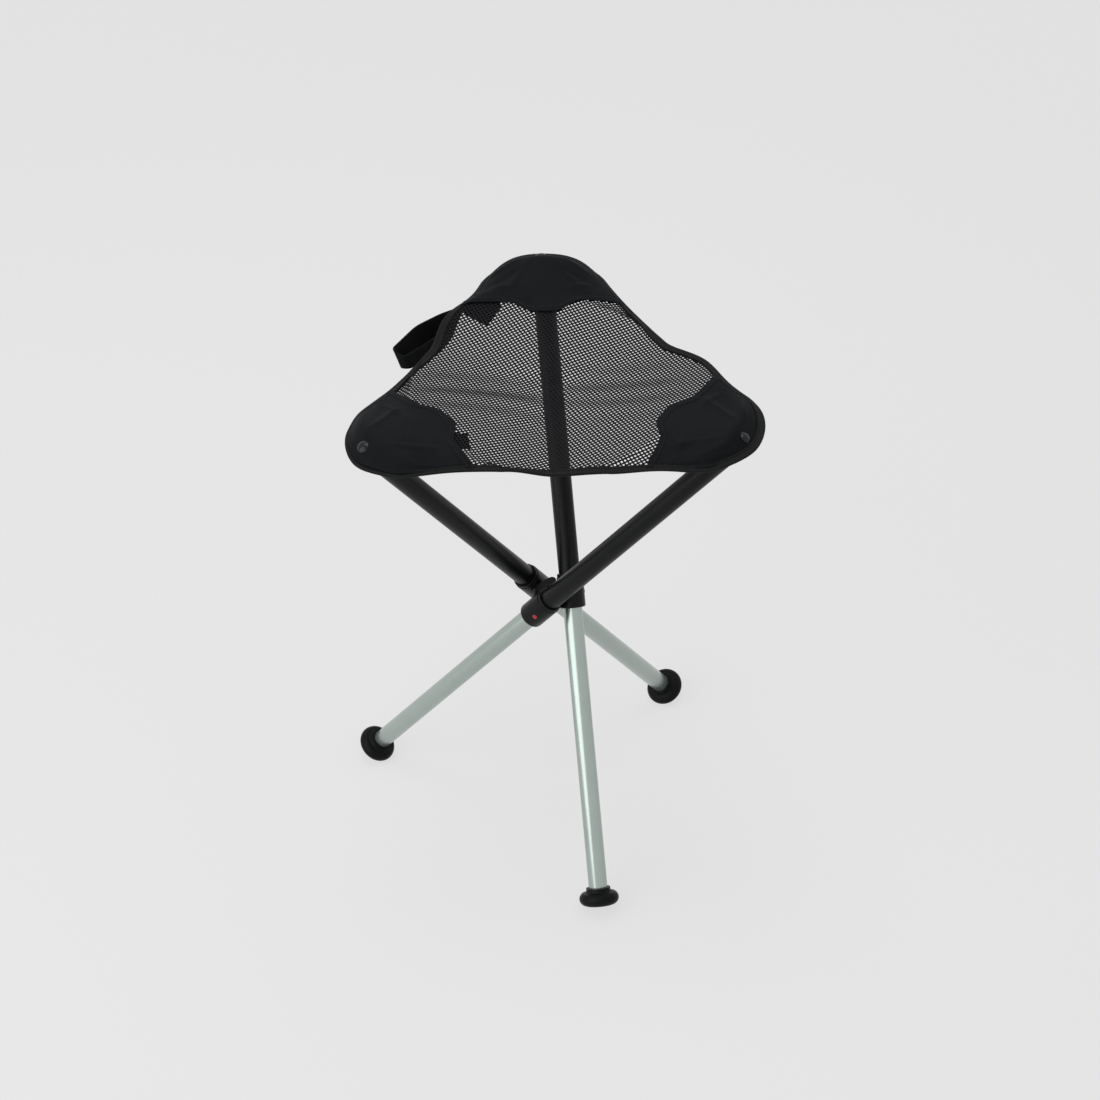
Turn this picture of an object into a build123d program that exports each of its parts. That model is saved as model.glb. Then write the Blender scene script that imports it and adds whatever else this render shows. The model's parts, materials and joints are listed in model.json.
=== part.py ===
from build123d import *
import os
from math import atan2, cos, degrees, hypot, radians, sin, sqrt, tan

# Folding tripod stool: three telescopic legs cross in a hub and carry a net seat by its corners.
# Sizes are in millimetres. +Z is up, the seat's back corner points to +Y and the floor is at Z = 0.

os.makedirs("parts", exist_ok=True)

# Legs
leg_lean = 36.5
hub_offset = 24.0
upper_diameter = 22.0
upper_wall = 1.0
upper_reach = 340.0
lower_diameter = 19.5
lower_wall = 1.2
lower_overlap = 25.0
foot_reach = 320.0

# Sleeves round the upper tubes
sleeve_wall = 2.75
sleeve_above = 19.5
sleeve_below = 16.0
sleeve_lip = 2.0
sleeve_round = 3.0
boss_diameter = 16.0
boss_proud = 0.25

# Hub core and pivots
hub_half = 11.0
hub_corner = 4.0
pin_diameter = 5.0
pin_inner = 3.4
pin_inner_head = 7.4
pin_outer_head = 9.0
pin_head = 1.2
pin_cover = 0.5
screw_diameter = 3.0
screw_head = 5.5
screw_head_height = 3.0
screw_socket = 2.5
nut_width = 5.5
nut_height = 2.4

# Lock buttons and lock springs
lock_height = -0.5
lock_pin = 4.6
button_head = 6.6
button_neck = 5.0
button_head_height = 0.6
button_proud = 1.5
button_wall = 0.75
spring_width = 6.0
spring_thickness = 0.8
spring_length = 46.0
spring_gap = 0.3
spring_over = 4.0
spring_under = 3.0
spring_bend = 3.0
spring_bend_inside = 2.0

# Plugs, rivets and guide bushes
plug_depth = 19.0
plug_lip = 2.0
plug_edge = 0.2
rivet_diameter = 12.0
rivet_dome = 3.2
rivet_shank = 4.2
rivet_grip = 14.0
rivet_gap = 0.5
bush_length = 5.0
bush_spigot = 15.0
bush_bore = 12.0

# Rubber feet
foot_diameter = 41.2
foot_round = 7.0
foot_dome = 1.5
foot_collar = 11.0
foot_collar_wall = 2.8
foot_socket = 1.5
foot_flat = 0.8
foot_rim_angle = 60.0
foot_flare = 0.35
foot_hollow = 0.3

# Seat
seat_overhang = 18.3412
lobe_radius = 70.0
edge_hollow = 10.0
seat_drop = 12.0
binding_width = 8.0
binding_thickness = 2.4
binding_start = 9.0
net_thickness = 1.2
net_tuck = 26.0
net_pitch = 14.0
net_hole = 10.6
net_margin = 7.5
cloth_thickness = 1.6
cloth_rise = 2.3
pocket_depth = 88.0
pocket_ease = 1.3
pocket_tip = 12.0
pocket_tip_gap = 0.5
pocket_side_gap = 1.5
pocket_lap = 0.5
tongue_length = 19.0
tongue_width = 86.0
tongue_point = 26.0
tongue_shoulder = 2.0
strap_width = 22.0
strap_thickness = 2.2
strap_reach = 36.0
strap_length = 92.0
strap_bend = 12.0
strap_start = 2.0
tab_size = 20.0
tab_thickness = 0.8
tab_inset = 8.0

# Clearances: fixed fits, running fits, faces that pass each other, and cloth edges
fit = 0.02
run = 0.05
button_gap = 0.1
face_gap = 0.3
cloth_gap = 0.3

# Sizes that follow from the ones above
lean = radians(leg_lean)
upper_radius = upper_diameter / 2
upper_bore = upper_radius - upper_wall
lower_radius = lower_diameter / 2
lower_bore = lower_radius - lower_wall
sleeve_radius = upper_radius + sleeve_wall
foot_radius = foot_diameter / 2
upper_bottom = sleeve_lip - sleeve_below
upper_out = upper_reach * sin(lean)
foot_out = foot_reach * sin(lean)
corner_radius = hypot(hub_offset, upper_out)
twist = degrees(atan2(hub_offset, upper_out))
foot_turn = degrees(atan2(hub_offset, foot_out))
foot_below = (foot_radius - foot_round) * sin(lean) + foot_round - foot_flat
hub_height = foot_reach * cos(lean) + foot_below
corner_height = hub_height + upper_reach * cos(lean)
boss_face = hub_offset - sleeve_radius - boss_proud
hub_face = boss_face - face_gap
tip_radius = corner_radius + seat_overhang
lobe_centre = tip_radius - lobe_radius
edge_middle = lobe_centre / 2 + lobe_radius - edge_hollow
edge_square = edge_middle**2 + lobe_centre**2 - lobe_centre * edge_middle - lobe_radius**2
edge_radius = edge_square / (2 * edge_hollow)
pocket_inner = tip_radius - pocket_depth
tongue_inner = pocket_inner - tongue_length
net_corner = pocket_inner + net_tuck
seat_height = corner_height - seat_drop
front_reach = hypot(hub_offset, foot_out) * cos(radians(twist + foot_turn))
front_reach = front_reach + (foot_radius - foot_round) * cos(lean) + foot_round
axis_y = (front_reach - tip_radius) / 2

# Directions of the three corners, a third of a turn apart
back_corner = 90.0
corner_angles = {"a": back_corner + 120, "b": back_corner + 240, "c": back_corner}


def leg_plane(letter):
    """Plane at the leg's pivot: Z runs up the leg, X points away from the tripod's axis."""
    angle = radians(corner_angles[letter] - 90 + twist)
    out = Vector(cos(angle), sin(angle), 0)
    along = Vector(-sin(angle), cos(angle), 0)
    start = Vector(0, axis_y, hub_height) + out * hub_offset
    return Plane(origin=start, x_dir=out, z_dir=along * sin(lean) + Vector(0, 0, cos(lean)))


def outward(leg, height):
    """Plane across the leg's axis that faces away from the tripod's axis."""
    return Plane(origin=leg.from_local_coords(Vector(0, 0, height)), x_dir=leg.z_dir, z_dir=leg.x_dir)


def pivot(leg, distance):
    """Plane that faces the leg along its pivot, at a distance from the tripod's axis."""
    return outward(leg, 0).offset(distance - hub_offset)


def profile(leg):
    """Plane through the leg's axis: X is the radius and Y runs up the leg."""
    return Plane(origin=leg.origin, x_dir=leg.x_dir, z_dir=leg.y_dir * -1)


def seat_level(height):
    """Level plane on the tripod's axis, at a height over the seat's edge."""
    return Plane(origin=(0, axis_y, seat_height + height), x_dir=(1, 0, 0), z_dir=(0, 0, 1))


def corner_section(letter, distance):
    """Upright plane across the corner at a distance from the axis, with Y = 0 at the tube's end."""
    angle = radians(corner_angles[letter])
    start = (distance * cos(angle), axis_y + distance * sin(angle), corner_height)
    return Plane(origin=start, x_dir=(-sin(angle), cos(angle), 0), z_dir=(cos(angle), sin(angle), 0))


def polar(radius, angle):
    """Point in the seat's plan."""
    return Vector(radius * cos(radians(angle)), radius * sin(radians(angle)))


def seat_lobe(angle, inset):
    """Start, tip and end of the arc round one corner of the seat."""
    centre = polar(lobe_centre, angle)
    before = (polar(edge_middle + edge_radius, angle - 60) - centre).normalized()
    after = (polar(edge_middle + edge_radius, angle + 60) - centre).normalized()
    reach = lobe_radius - inset
    return centre + before * reach, polar(tip_radius - inset, angle), centre + after * reach


def seat_outline(inset):
    """Closed line round the seat: three corner arcs and three hollow edges."""
    for angle in corner_angles.values():
        start, tip, end = seat_lobe(angle, inset)
        following = seat_lobe(angle + 120, inset)[0]
        ThreePointArc(start, tip, end)
        ThreePointArc(end, polar(edge_middle - inset, angle + 60), following)


def half_width(distance, inset):
    """Half the seat's width across a corner, at a distance from the tripod's axis."""
    end = seat_lobe(90, inset)[0]
    if distance > end.Y:
        return sqrt((lobe_radius - inset) ** 2 - (distance - lobe_centre) ** 2)
    centre = polar(edge_middle + edge_radius, 30)
    return centre.X - sqrt((edge_radius + inset) ** 2 - (distance - centre.Y) ** 2)


legs = {letter: leg_plane(letter) for letter in "abc"}

# Hub core, upper half: a three-sided block with a face for each sleeve
face_turn = corner_angles["c"] - 90 + twist + 60
hub_level = Plane(origin=(0, axis_y, hub_height), x_dir=(1, 0, 0), z_dir=(0, 0, 1))
with BuildPart() as hub_upper:
    with BuildSketch(hub_level) as hub_sketch:
        RegularPolygon(hub_face, 3, major_radius=False, rotation=face_turn)
        fillet(hub_sketch.vertices(), hub_corner)
    extrude(amount=hub_half)
    for leg in legs.values():
        with BuildSketch(pivot(leg, pin_inner - run)):
            Circle(pin_diameter / 2 + run)
        extrude(amount=hub_offset, mode=Mode.SUBTRACT)
        with BuildSketch(pivot(leg, pin_inner - run)):
            Circle(pin_inner_head / 2 + run)
        extrude(amount=pin_head + 2 * run, mode=Mode.SUBTRACT)
    with BuildSketch(hub_level):
        Circle(screw_diameter / 2 + button_gap)
    extrude(amount=hub_half, mode=Mode.SUBTRACT)
    with BuildSketch(hub_level.offset(hub_half - screw_head_height - button_gap)):
        Circle(screw_head / 2 + button_gap)
    extrude(amount=hub_half, mode=Mode.SUBTRACT)
hub_upper.part.label = "hub_upper"
export_step(hub_upper.part, "parts/hub_upper.step")

# Hub core, lower half: holds the nut in a six-sided pocket
with BuildPart() as hub_lower:
    with BuildSketch(hub_level) as hub_sketch:
        RegularPolygon(hub_face, 3, major_radius=False, rotation=face_turn)
        fillet(hub_sketch.vertices(), hub_corner)
    extrude(amount=-hub_half)
    for leg in legs.values():
        with BuildSketch(pivot(leg, pin_inner - run)):
            Circle(pin_diameter / 2 + run)
        extrude(amount=hub_offset, mode=Mode.SUBTRACT)
        with BuildSketch(pivot(leg, pin_inner - run)):
            Circle(pin_inner_head / 2 + run)
        extrude(amount=pin_head + 2 * run, mode=Mode.SUBTRACT)
    with BuildSketch(hub_level):
        Circle(screw_diameter / 2 + button_gap)
    extrude(amount=-hub_half, mode=Mode.SUBTRACT)
    with BuildSketch(hub_level.offset(nut_height + button_gap - hub_half)):
        RegularPolygon(nut_width / 2 + button_gap, 6, major_radius=False)
    extrude(amount=-hub_half, mode=Mode.SUBTRACT)
hub_lower.part.label = "hub_lower"
export_step(hub_lower.part, "parts/hub_lower.step")

# Screw that clamps the two hub halves
screw_seat = hub_half - screw_head_height - button_gap
with BuildPart() as hub_screw:
    with BuildSketch(hub_level.offset(screw_seat)):
        Circle(screw_head / 2)
    extrude(amount=screw_head_height)
    with BuildSketch(hub_level.offset(screw_seat)):
        Circle(screw_diameter / 2)
    extrude(amount=-screw_seat - hub_half + button_gap)
    with BuildSketch(hub_level.offset(screw_seat + screw_head_height)):
        RegularPolygon(screw_socket / 2, 6, major_radius=False)
    extrude(amount=-screw_head_height / 2, mode=Mode.SUBTRACT)
hub_screw.part.label = "hub_screw"
export_step(hub_screw.part, "parts/hub_screw.step")

# Nut under the hub
with BuildPart() as hub_nut:
    with BuildSketch(hub_level.offset(nut_height + button_gap - hub_half)):
        RegularPolygon(nut_width / 2, 6, major_radius=False)
        Circle(screw_diameter / 2 + fit, mode=Mode.SUBTRACT)
    extrude(amount=-nut_height)
hub_nut.part.label = "hub_nut"
export_step(hub_nut.part, "parts/hub_nut.step")

# Upper tubes, each with a round window for its lock pin
for letter, leg in legs.items():
    with BuildPart() as upper_tube:
        with BuildSketch(leg.offset(upper_bottom)):
            Circle(upper_radius)
            Circle(upper_bore, mode=Mode.SUBTRACT)
        extrude(amount=upper_reach - upper_bottom)
        with BuildSketch(outward(leg, lock_height)):
            Circle(lock_pin / 2 + button_gap)
        extrude(amount=upper_diameter, mode=Mode.SUBTRACT)
    upper_tube.part.label = f"upper_tube_{letter}"
    export_step(upper_tube.part, f"parts/upper_tube_{letter}.step")

# Sleeves that grip the upper tubes, with a boss towards the hub and a stepped hole for the button
pin_outer = hub_offset - upper_radius - fit - pin_head - pin_cover
for letter, leg in legs.items():
    up_leg = Axis(leg.origin, leg.z_dir)
    with BuildPart() as sleeve:
        with BuildSketch(leg.offset(-sleeve_below)):
            Circle(sleeve_radius)
        extrude(amount=sleeve_below + sleeve_above)
        rims = sleeve.edges().filter_by(GeomType.CIRCLE).sort_by(up_leg)
        fillet(rims[0], sleeve_round)
        fillet(rims[-1], sleeve_round / 3)
        with BuildSketch(pivot(leg, boss_face)):
            Circle(boss_diameter / 2)
        extrude(amount=sleeve_wall)
        with BuildSketch(leg.offset(upper_bottom)):
            Circle(upper_radius + fit)
        extrude(amount=sleeve_below + sleeve_above, mode=Mode.SUBTRACT)
        with BuildSketch(leg.offset(upper_bottom)):
            Circle(lower_radius + run)
        extrude(amount=-sleeve_below, mode=Mode.SUBTRACT)
        with BuildSketch(pivot(leg, 0)):
            Circle(pin_diameter / 2 + fit)
        extrude(amount=pin_outer + fit, mode=Mode.SUBTRACT)
        with BuildSketch(pivot(leg, pin_outer - fit)):
            Circle(pin_outer_head / 2 + fit)
        extrude(amount=pin_head + 2 * fit, mode=Mode.SUBTRACT)
        with BuildSketch(outward(leg, lock_height)):
            Circle(button_neck / 2 + button_gap)
        extrude(amount=2 * sleeve_radius, mode=Mode.SUBTRACT)
        with BuildSketch(outward(leg, lock_height)):
            Circle(button_head / 2 + button_gap)
        extrude(amount=sleeve_radius - button_wall, mode=Mode.SUBTRACT)
    sleeve.part.label = f"sleeve_{letter}"
    export_step(sleeve.part, f"parts/sleeve_{letter}.step")

# Pivot pins: a head held in the sleeve's wall, a shank, and a head that turns inside the hub core
for letter, leg in legs.items():
    with BuildPart() as pivot_pin:
        with BuildSketch(pivot(leg, pin_inner)):
            Circle(pin_diameter / 2)
        extrude(amount=pin_outer - pin_inner)
        with BuildSketch(pivot(leg, pin_inner)):
            Circle(pin_inner_head / 2)
        extrude(amount=pin_head)
        with BuildSketch(pivot(leg, pin_outer)):
            Circle(pin_outer_head / 2)
        extrude(amount=pin_head)
    pivot_pin.part.label = f"pivot_pin_{letter}"
    export_step(pivot_pin.part, f"parts/pivot_pin_{letter}.step")

# Plugs in the upper tubes' ends, drilled for the rivets
rivet_seat = upper_reach + plug_lip + cloth_rise + cloth_thickness + rivet_gap
for letter, leg in legs.items():
    with BuildPart() as top_plug:
        with BuildSketch(leg.offset(upper_reach)):
            Circle(upper_bore - fit)
        extrude(amount=-plug_depth)
        with BuildSketch(leg.offset(upper_reach)):
            Circle(upper_radius + plug_edge)
        extrude(amount=plug_lip)
        with BuildSketch(leg.offset(rivet_seat)):
            Circle(rivet_shank / 2 + fit)
        extrude(amount=-rivet_grip - fit, mode=Mode.SUBTRACT)
    top_plug.part.label = f"top_plug_{letter}"
    export_step(top_plug.part, f"parts/top_plug_{letter}.step")

# Domed rivets that pin the seat's corners to the plugs
for letter, leg in legs.items():
    up_leg = Axis(leg.origin, leg.z_dir)
    with BuildPart() as seat_rivet:
        with BuildSketch(leg.offset(rivet_seat)):
            Circle(rivet_diameter / 2)
        extrude(amount=rivet_dome)
        fillet(seat_rivet.edges().filter_by(GeomType.CIRCLE).sort_by(up_leg)[-1], rivet_dome * 0.9)
        with BuildSketch(leg.offset(rivet_seat)):
            Circle(rivet_shank / 2)
        extrude(amount=-rivet_grip)
    seat_rivet.part.label = f"seat_rivet_{letter}"
    export_step(seat_rivet.part, f"parts/seat_rivet_{letter}.step")

# Lower tubes, each with a hole for its lock pin
foot_floor = -foot_reach - foot_socket
for letter, leg in legs.items():
    with BuildPart() as lower_tube:
        with BuildSketch(leg.offset(foot_floor + fit)):
            Circle(lower_radius)
            Circle(lower_bore, mode=Mode.SUBTRACT)
        extrude(amount=lower_overlap - foot_floor - fit)
        with BuildSketch(outward(leg, lock_height)):
            Circle(lock_pin / 2 + button_gap)
        extrude(amount=lower_diameter, mode=Mode.SUBTRACT)
    lower_tube.part.label = f"lower_tube_{letter}"
    export_step(lower_tube.part, f"parts/lower_tube_{letter}.step")

# Guide bushes that run inside the upper tubes
for letter, leg in legs.items():
    with BuildPart() as guide_bush:
        with BuildSketch(leg.offset(lower_overlap)):
            Circle(upper_bore - run)
        extrude(amount=bush_length)
        with BuildSketch(leg.offset(lower_overlap)):
            Circle(lower_bore - fit)
        extrude(amount=-bush_spigot)
        with BuildSketch(leg.offset(lower_overlap + bush_length)):
            Circle(bush_bore / 2)
        extrude(amount=-bush_length - bush_spigot, mode=Mode.SUBTRACT)
    guide_bush.part.label = f"guide_bush_{letter}"
    export_step(guide_bush.part, f"parts/guide_bush_{letter}.step")

# Leaf springs with lock pins inside the lower tubes
leaf_out = sqrt(lower_bore**2 - (spring_width / 2) ** 2) - spring_gap
leaf_in = leaf_out - spring_thickness
leaf_top = lock_height + lock_pin / 2 + spring_over
leaf_knee = lock_height - lock_pin / 2 - spring_under
leaf_end = leaf_top - spring_length
leaf_end_inside = leaf_end + spring_thickness
bend_out = spring_bend / 2
bend_in = spring_bend_inside / 2
lock_tip = upper_radius - button_gap
leaf_line = [(leaf_out, leaf_top), (leaf_out, leaf_knee), (bend_out, leaf_end), (-bend_out, leaf_end)]
leaf_line += [(-leaf_out, leaf_knee), (-leaf_out, leaf_top), (-leaf_in, leaf_top), (-leaf_in, leaf_knee)]
leaf_line += [(-bend_in, leaf_end_inside), (bend_in, leaf_end_inside)]
leaf_line += [(leaf_in, leaf_knee), (leaf_in, leaf_top)]
for letter, leg in legs.items():
    with BuildPart() as lock_spring:
        with BuildSketch(profile(leg)):
            with BuildLine():
                Polyline(*leaf_line, close=True)
            make_face()
        extrude(amount=spring_width / 2, both=True)
        with BuildSketch(outward(leg, lock_height).offset(leaf_in)):
            Circle(lock_pin / 2)
        extrude(amount=lock_tip - leaf_in)
    lock_spring.part.label = f"lock_spring_{letter}"
    export_step(lock_spring.part, f"parts/lock_spring_{letter}.step")

# Lock buttons: a nose over the lock pin, a flange behind the sleeve's wall and a neck to press
flange_out = sleeve_radius - button_wall - button_gap
button_out = sleeve_radius + button_proud
for letter, leg in legs.items():
    with BuildPart() as lock_button:
        with BuildSketch(outward(leg, lock_height).offset(upper_radius)):
            Circle(lock_pin / 2)
        extrude(amount=flange_out - upper_radius)
        with BuildSketch(outward(leg, lock_height).offset(flange_out)):
            Circle(button_head / 2)
        extrude(amount=-button_head_height)
        with BuildSketch(outward(leg, lock_height).offset(flange_out)):
            Circle(button_neck / 2)
        extrude(amount=button_out - flange_out)
        crown = lock_button.edges().filter_by(GeomType.CIRCLE).sort_by(Axis(leg.origin, leg.x_dir))[-1]
        fillet(crown, button_proud / 2)
    lock_button.part.label = f"lock_button_{letter}"
    export_step(lock_button.part, f"parts/lock_button_{letter}.step")

# Rubber feet: a collar round the tube, a broad rounded rim and a small flat that stands on the floor
socket_radius = lower_radius + fit
collar_radius = socket_radius + foot_collar_wall
rim_centre = foot_radius - foot_round
rim_turn = radians(foot_rim_angle)
rim_side = (rim_centre + foot_round * cos(rim_turn), -foot_reach + foot_round * sin(rim_turn))
rim_edge = (foot_radius, -foot_reach)
rim_low = (rim_centre, -foot_reach - foot_round)
flare_top = -foot_reach + foot_round + foot_flare * (foot_collar - foot_round)
flare_out = collar_radius + foot_flare * (rim_side[0] - collar_radius)
flare_mid = (flare_out, rim_side[1] + foot_hollow * (flare_top - rim_side[1]))
collar_top = -foot_reach + foot_collar
dome_low = -foot_reach - foot_round - foot_dome
core = rim_centre / 3
dome_mid = (2 * core, dome_low + foot_hollow * foot_dome)
for letter, leg in legs.items():
    with BuildPart() as foot:
        with BuildSketch(profile(leg)):
            with BuildLine():
                Line((core / 2, foot_floor), (socket_radius, foot_floor))
                Line((socket_radius, foot_floor), (socket_radius, collar_top))
                Line((socket_radius, collar_top), (collar_radius, collar_top))
                Line((collar_radius, collar_top), (collar_radius, flare_top))
                ThreePointArc((collar_radius, flare_top), flare_mid, rim_side)
                ThreePointArc(rim_side, rim_edge, rim_low)
                ThreePointArc(rim_low, dome_mid, (core, dome_low))
                Line((core, dome_low), (core / 2, dome_low))
                Line((core / 2, dome_low), (core / 2, foot_floor))
            make_face()
        revolve(axis=Axis(leg.origin, leg.z_dir))
        with BuildSketch(leg.offset(foot_floor)):
            Circle(0.75 * core)
        extrude(amount=dome_low - foot_floor)
        with BuildSketch(Plane.XY):
            Rectangle(6 * corner_radius, 6 * corner_radius)
        extrude(amount=-2 * foot_round, mode=Mode.SUBTRACT)
    foot.part.label = f"foot_{letter}"
    export_step(foot.part, f"parts/foot_{letter}.step")

# Seat net: a thin plate with staggered round gaps
net_inset = binding_width + cloth_gap
row_step = net_pitch * sqrt(3) / 2
rows = int(tip_radius / row_step) + 1
gaps = []
for row in range(-rows, rows + 1):
    for column in range(-rows, rows + 1):
        spot = Vector((column + 0.5 * (row % 2)) * net_pitch, row * row_step)
        clear = True
        for angle in corner_angles.values():
            along = spot.dot(polar(1, angle))
            across = abs(spot.dot(polar(1, angle + 90)))
            bound = pocket_inner if across > tongue_width / 2 else tongue_inner
            edge_point = polar(edge_middle + edge_radius, angle + 60)
            edge_side = (spot - edge_point).length - edge_radius - net_inset
            if along > bound - net_margin or edge_side < net_margin:
                clear = False
        if clear:
            gaps.append(spot)
with BuildPart() as seat_net:
    with BuildSketch(seat_level(-net_thickness / 2)):
        with BuildLine():
            seat_outline(net_inset)
        make_face()
        RegularPolygon(net_corner, 3, major_radius=False, rotation=back_corner - 60, mode=Mode.INTERSECT)
        with Locations(*gaps):
            Circle(net_hole / 2, mode=Mode.SUBTRACT)
    extrude(amount=net_thickness)
seat_net.part.label = "seat_net"
export_step(seat_net.part, "parts/seat_net.step")

# Corner pockets: a hood of cloth over each tube's end and a tongue that lies on the net.
# The hood's ridge falls in a slack curve, given as shares of its run and of its rise.
slope_shares = [(0.38, 0.76), (0.74, 0.36)]
level = cloth_gap + net_thickness / 2 - seat_drop
lift = plug_lip + cloth_rise
end_y = corner_radius + lift * sin(lean) * cos(radians(twist))
end_z = lift * cos(lean)
crease = upper_radius + plug_edge + pocket_ease
crease_y = end_y - crease * cos(lean)
crease_z = end_z + crease * sin(lean)
tip_y = tip_radius - pocket_tip_gap
outer_y = (end_y + tip_y) / 2
outer_width = outer_y * tan(radians(binding_start)) - pocket_side_gap
side = net_inset + cloth_gap
hood = [
    (tip_y, pocket_tip / 2, end_z - (tip_y - end_y) * tan(lean), level + pocket_side_gap),
    (outer_y, outer_width, end_z - (outer_y - end_y) * tan(lean), level),
    (end_y, half_width(end_y, side), end_z, level),
    (crease_y, half_width(crease_y, side), crease_z, level),
]
for run_share, rise_share in slope_shares:
    slope_y = crease_y - run_share * (crease_y - pocket_inner)
    hood.append((slope_y, half_width(slope_y, side), level + rise_share * (crease_z - level), level))
hood.append((pocket_inner, half_width(pocket_inner, side), level + pocket_lap, level))
tongue_line = [
    (-tongue_width / 2, pocket_inner + pocket_lap),
    (tongue_width / 2, pocket_inner + pocket_lap),
    (tongue_width / 2, pocket_inner - tongue_shoulder),
    (tongue_point / 2, tongue_inner),
    (-tongue_point / 2, tongue_inner),
    (-tongue_width / 2, pocket_inner - tongue_shoulder),
]
for letter, leg in legs.items():
    turn = corner_angles[letter] - 90
    with BuildPart() as corner_pocket:
        for distance, width, ridge, edge in hood:
            rim = edge + cloth_thickness
            with BuildSketch(corner_section(letter, distance)):
                with BuildLine():
                    ThreePointArc((-width, edge), (0, ridge), (width, edge))
                    Line((width, edge), (width, rim))
                    ThreePointArc((width, rim), (0, ridge + cloth_thickness), (-width, rim))
                    Line((-width, rim), (-width, edge))
                make_face()
        loft(ruled=True)
        with BuildSketch(Plane(seat_level(level + seat_drop).location * Location((0, 0, 0), (0, 0, turn)))):
            with BuildLine():
                Polyline(*tongue_line, close=True)
            make_face()
        extrude(amount=cloth_thickness)
        with BuildSketch(leg.offset(upper_reach + plug_lip)):
            Circle(rivet_shank / 2 + rivet_gap)
        extrude(amount=4 * cloth_thickness + cloth_rise, mode=Mode.SUBTRACT)
    corner_pocket.part.label = f"corner_pocket_{letter}"
    export_step(corner_pocket.part, f"parts/corner_pocket_{letter}.step")

# Edge binding: a half edge on each side of each corner
seam = degrees(cloth_gap / 2 / edge_middle)
far = 2 * tip_radius
for name, way in {"ab": 1, "ac": -1, "bc": 1, "ba": -1, "ca": 1, "cb": -1}.items():
    first = corner_angles[name[0]] + way * binding_start
    last = corner_angles[name[0]] + way * (60 - seam)
    with BuildPart() as edge_binding:
        with BuildSketch(seat_level(-binding_thickness / 2)):
            with BuildLine():
                seat_outline(0)
            make_face()
            with BuildLine():
                seat_outline(binding_width)
            make_face(mode=Mode.SUBTRACT)
            with BuildLine():
                Polyline((0, 0), polar(far, first), polar(far, last), close=True)
            make_face(mode=Mode.INTERSECT)
        extrude(amount=binding_thickness)
    edge_binding.part.label = f"edge_binding_{name}"
    export_step(edge_binding.part, f"parts/edge_binding_{name}.step")

# Carry strap: a loop of webbing on edge, its ends under the seat's left edge
strap_plane = Plane(
    origin=(0, axis_y, seat_height - binding_thickness / 2 - cloth_gap),
    x_dir=polar(1, back_corner - 30),
    z_dir=(0, 0, -1),
)
strap_near = edge_middle - binding_width
strap_far = edge_middle + strap_reach
strap_back = edge_middle + strap_length**2 / (2 * edge_radius) - binding_width
with BuildPart() as carry_strap:
    with BuildSketch(strap_plane):
        with BuildLine():
            strap_line = [(strap_start, -strap_near), (strap_start, -strap_far)]
            strap_line += [(strap_length / 2, -strap_far), (strap_length, -strap_back)]
            FilletPolyline(*strap_line, radius=strap_bend)
        trace(line_width=strap_thickness)
    extrude(amount=strap_width)
carry_strap.part.label = "carry_strap"
export_step(carry_strap.part, "parts/carry_strap.step")

# Blank cloth tab sewn under the net beside the left pocket
with BuildPart() as seat_tab:
    tab_turn = Location((0, 0, 0), (0, 0, corner_angles["a"]))
    with BuildSketch(Plane(seat_level(-net_thickness / 2 - cloth_gap).location * tab_turn)):
        with BuildLine():
            near = tongue_inner - tab_inset
            end = near + tab_size
            tab_line = [(near, tab_size), (end, tab_size), (end, 2 * tab_size), (near, 2 * tab_size)]
            Polyline(*tab_line, close=True)
        make_face()
    extrude(amount=-tab_thickness)
seat_tab.part.label = "seat_tab"
export_step(seat_tab.part, "parts/seat_tab.step")
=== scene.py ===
import json
import math

import bmesh
import bpy
import numpy as np
from mathutils import Matrix, Vector


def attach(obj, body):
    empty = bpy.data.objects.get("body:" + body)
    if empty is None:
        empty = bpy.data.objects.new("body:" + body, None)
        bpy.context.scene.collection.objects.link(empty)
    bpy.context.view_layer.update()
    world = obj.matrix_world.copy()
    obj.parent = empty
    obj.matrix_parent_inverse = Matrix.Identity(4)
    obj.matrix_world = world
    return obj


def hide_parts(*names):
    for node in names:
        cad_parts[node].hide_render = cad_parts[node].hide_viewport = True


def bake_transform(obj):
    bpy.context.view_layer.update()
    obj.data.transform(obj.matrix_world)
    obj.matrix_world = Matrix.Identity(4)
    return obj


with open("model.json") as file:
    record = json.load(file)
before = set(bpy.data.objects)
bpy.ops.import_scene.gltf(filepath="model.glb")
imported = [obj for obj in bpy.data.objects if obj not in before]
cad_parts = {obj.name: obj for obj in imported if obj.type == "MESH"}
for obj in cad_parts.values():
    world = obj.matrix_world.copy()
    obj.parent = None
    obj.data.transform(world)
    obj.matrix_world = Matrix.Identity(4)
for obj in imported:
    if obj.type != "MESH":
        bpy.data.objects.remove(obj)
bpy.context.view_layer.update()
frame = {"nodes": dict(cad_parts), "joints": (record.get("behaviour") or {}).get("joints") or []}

# Hub core: two moulded halves of black nylon clamped round the pivot pins by a steel screw and nut.
# The grain of the mould shows as a fine bump, and the screw is blacked.
cloud_scale, bump_strength = 45.0, 0.6


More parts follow.
